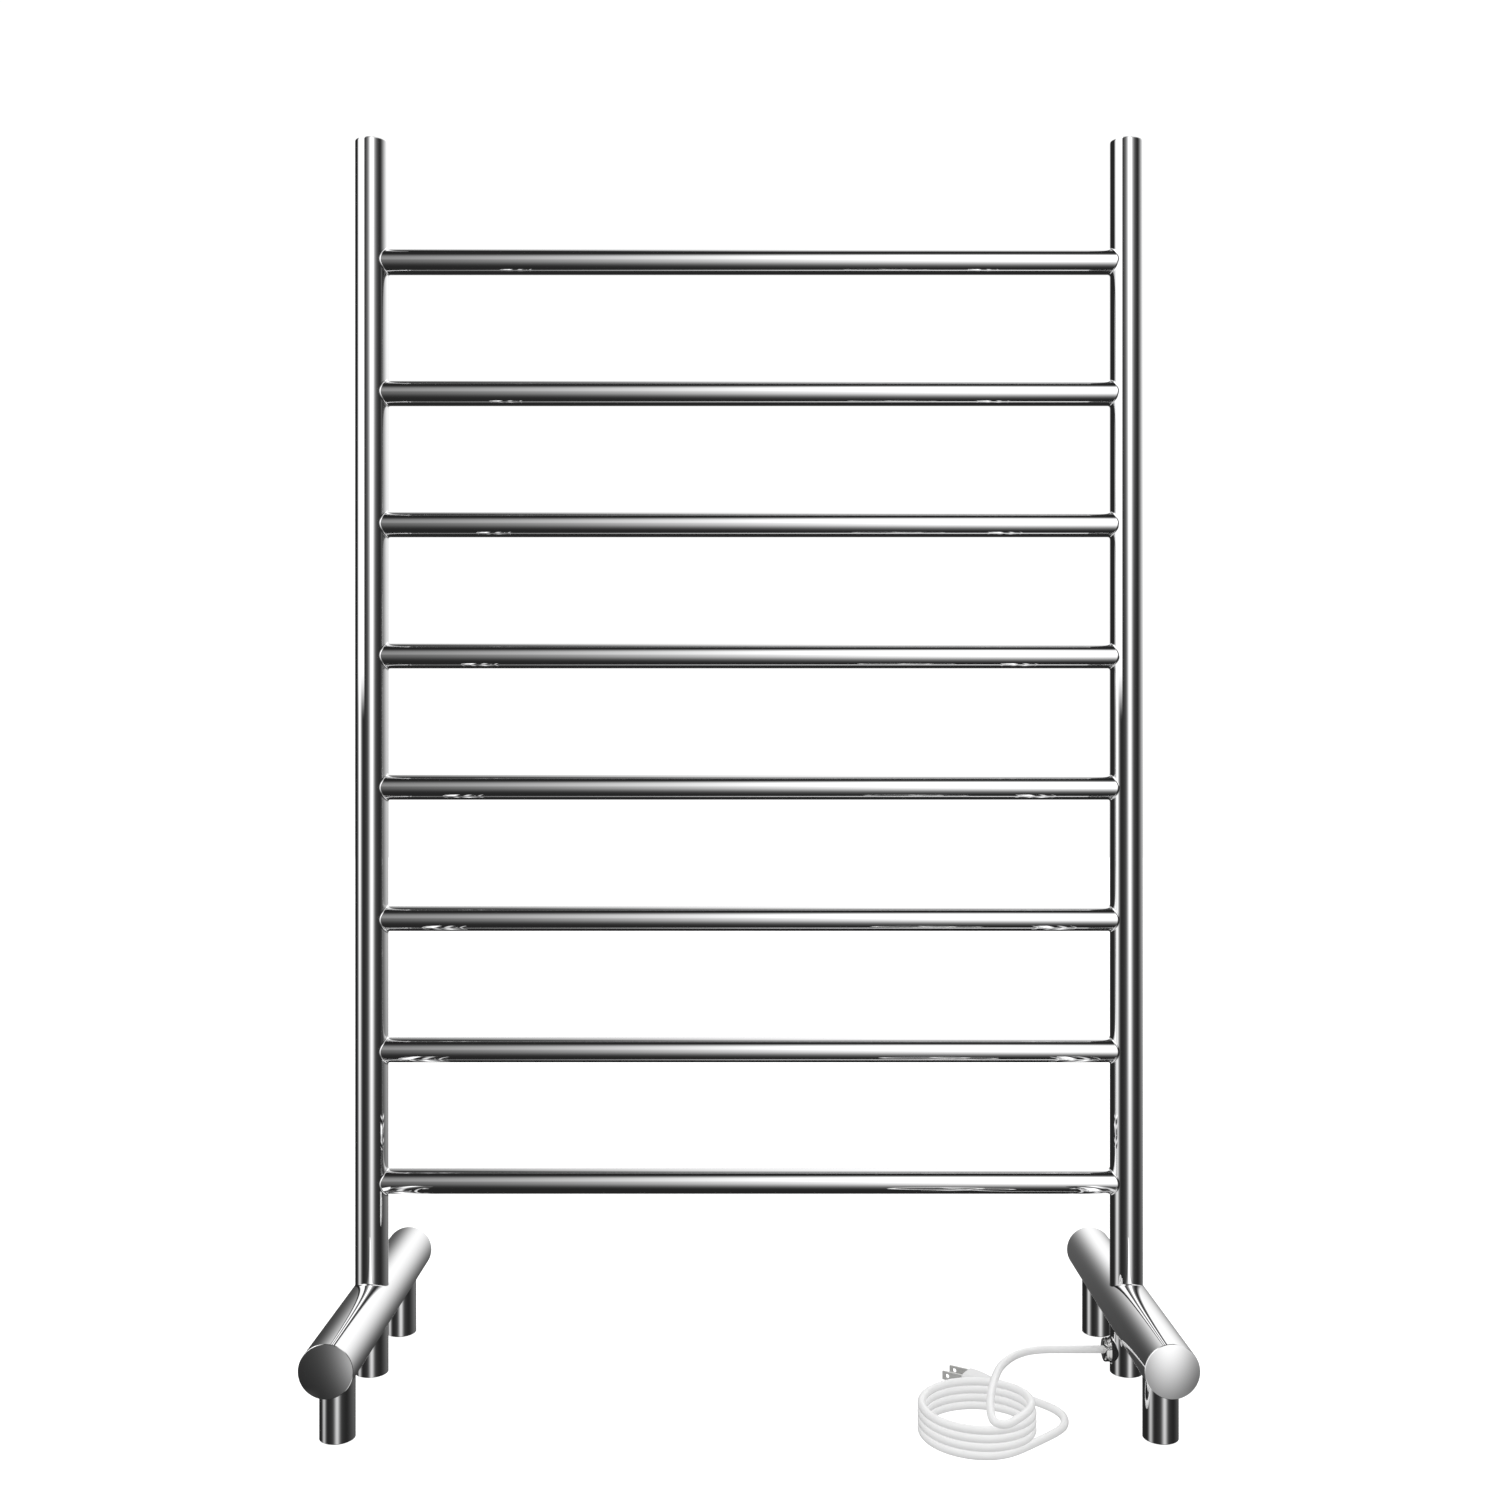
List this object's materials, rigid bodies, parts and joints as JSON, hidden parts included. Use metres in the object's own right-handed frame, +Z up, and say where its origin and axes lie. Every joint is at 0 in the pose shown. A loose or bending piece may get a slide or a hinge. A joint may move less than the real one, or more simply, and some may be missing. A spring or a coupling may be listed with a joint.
{
  "type": "towel warmer rack",
  "caption": "Free-standing electric towel warmer: two round posts joined by heated round bars, on two round base tubes with feet, with a coiled mains lead and plug.",
  "frame": {"origin": "on the floor, midway between the two posts, in the middle of the rack's own footprint without its lead and plug", "axes": "+Z up, +X to the post with the cable gland, -Y to the front"},
  "size_m": [0.618, 0.2775, 0.952],
  "materials": {
    "polished_steel": "polished",
    "nickel_brass": "polished",
    "white_cord": "satin",
    "white_plug": "satin",
    "plated_brass": "satin",
    "black_rubber": "matte",
    "black_nylon": "matte",
    "red_silicone": "matte",
    "black_sleeve": "matte",
    "core_black": "satin",
    "core_white": "satin",
    "core_green": "satin",
    "limiter_case": "satin",
    "plain_steel": "satin",
    "tinned_copper": "satin"
  },
  "bodies": {
    "root": {"cable_end_seal": "red_silicone", "cord_coil": "white_cord", "cord_lead": "white_cord", "cord_tail": "white_cord", "earth_core": "core_green", "earth_nut": "plain_steel", "earth_ring_terminal": "tinned_copper", "earth_stud": "plain_steel", "gland_body": "nickel_brass", "gland_bush": "polished_steel", "gland_nut": "nickel_brass", "gland_seal": "black_rubber", "gland_seal_ring": "black_rubber", "heating_cable": "red_silicone", "left_base_tube": "polished_steel", "left_front_end_disc": "polished_steel", "left_front_foot": "polished_steel", "left_front_foot_pad": "black_rubber", "left_post": "polished_steel", "left_post_cap": "polished_steel", "left_post_plug": "black_nylon", "left_rear_end_disc": "polished_steel", "left_rear_foot": "polished_steel", "left_rear_foot_pad": "black_rubber", "limiter_lead": "core_black", "line_core": "core_black", "neutral_core": "core_white", "plug_body": "white_plug", "plug_earth_pin": "plated_brass", "plug_line_blade": "plated_brass", "plug_neutral_blade": "plated_brass", "plug_strain_relief": "white_plug", "right_base_tube": "polished_steel", "right_front_end_disc": "polished_steel", "right_front_foot": "polished_steel", "right_front_foot_pad": "black_rubber", "right_post": "polished_steel", "right_post_cap": "polished_steel", "right_post_plug": "black_nylon", "right_rear_end_disc": "polished_steel", "right_rear_foot": "polished_steel", "right_rear_foot_pad": "black_rubber", "splice_sleeve": "black_sleeve", "thermal_limiter": "limiter_case", "towel_bar_1": "polished_steel", "towel_bar_2": "polished_steel", "towel_bar_3": "polished_steel", "towel_bar_4": "polished_steel", "towel_bar_5": "polished_steel", "towel_bar_6": "polished_steel", "towel_bar_7": "polished_steel", "towel_bar_8": "polished_steel"}
  },
  "joints": []
}
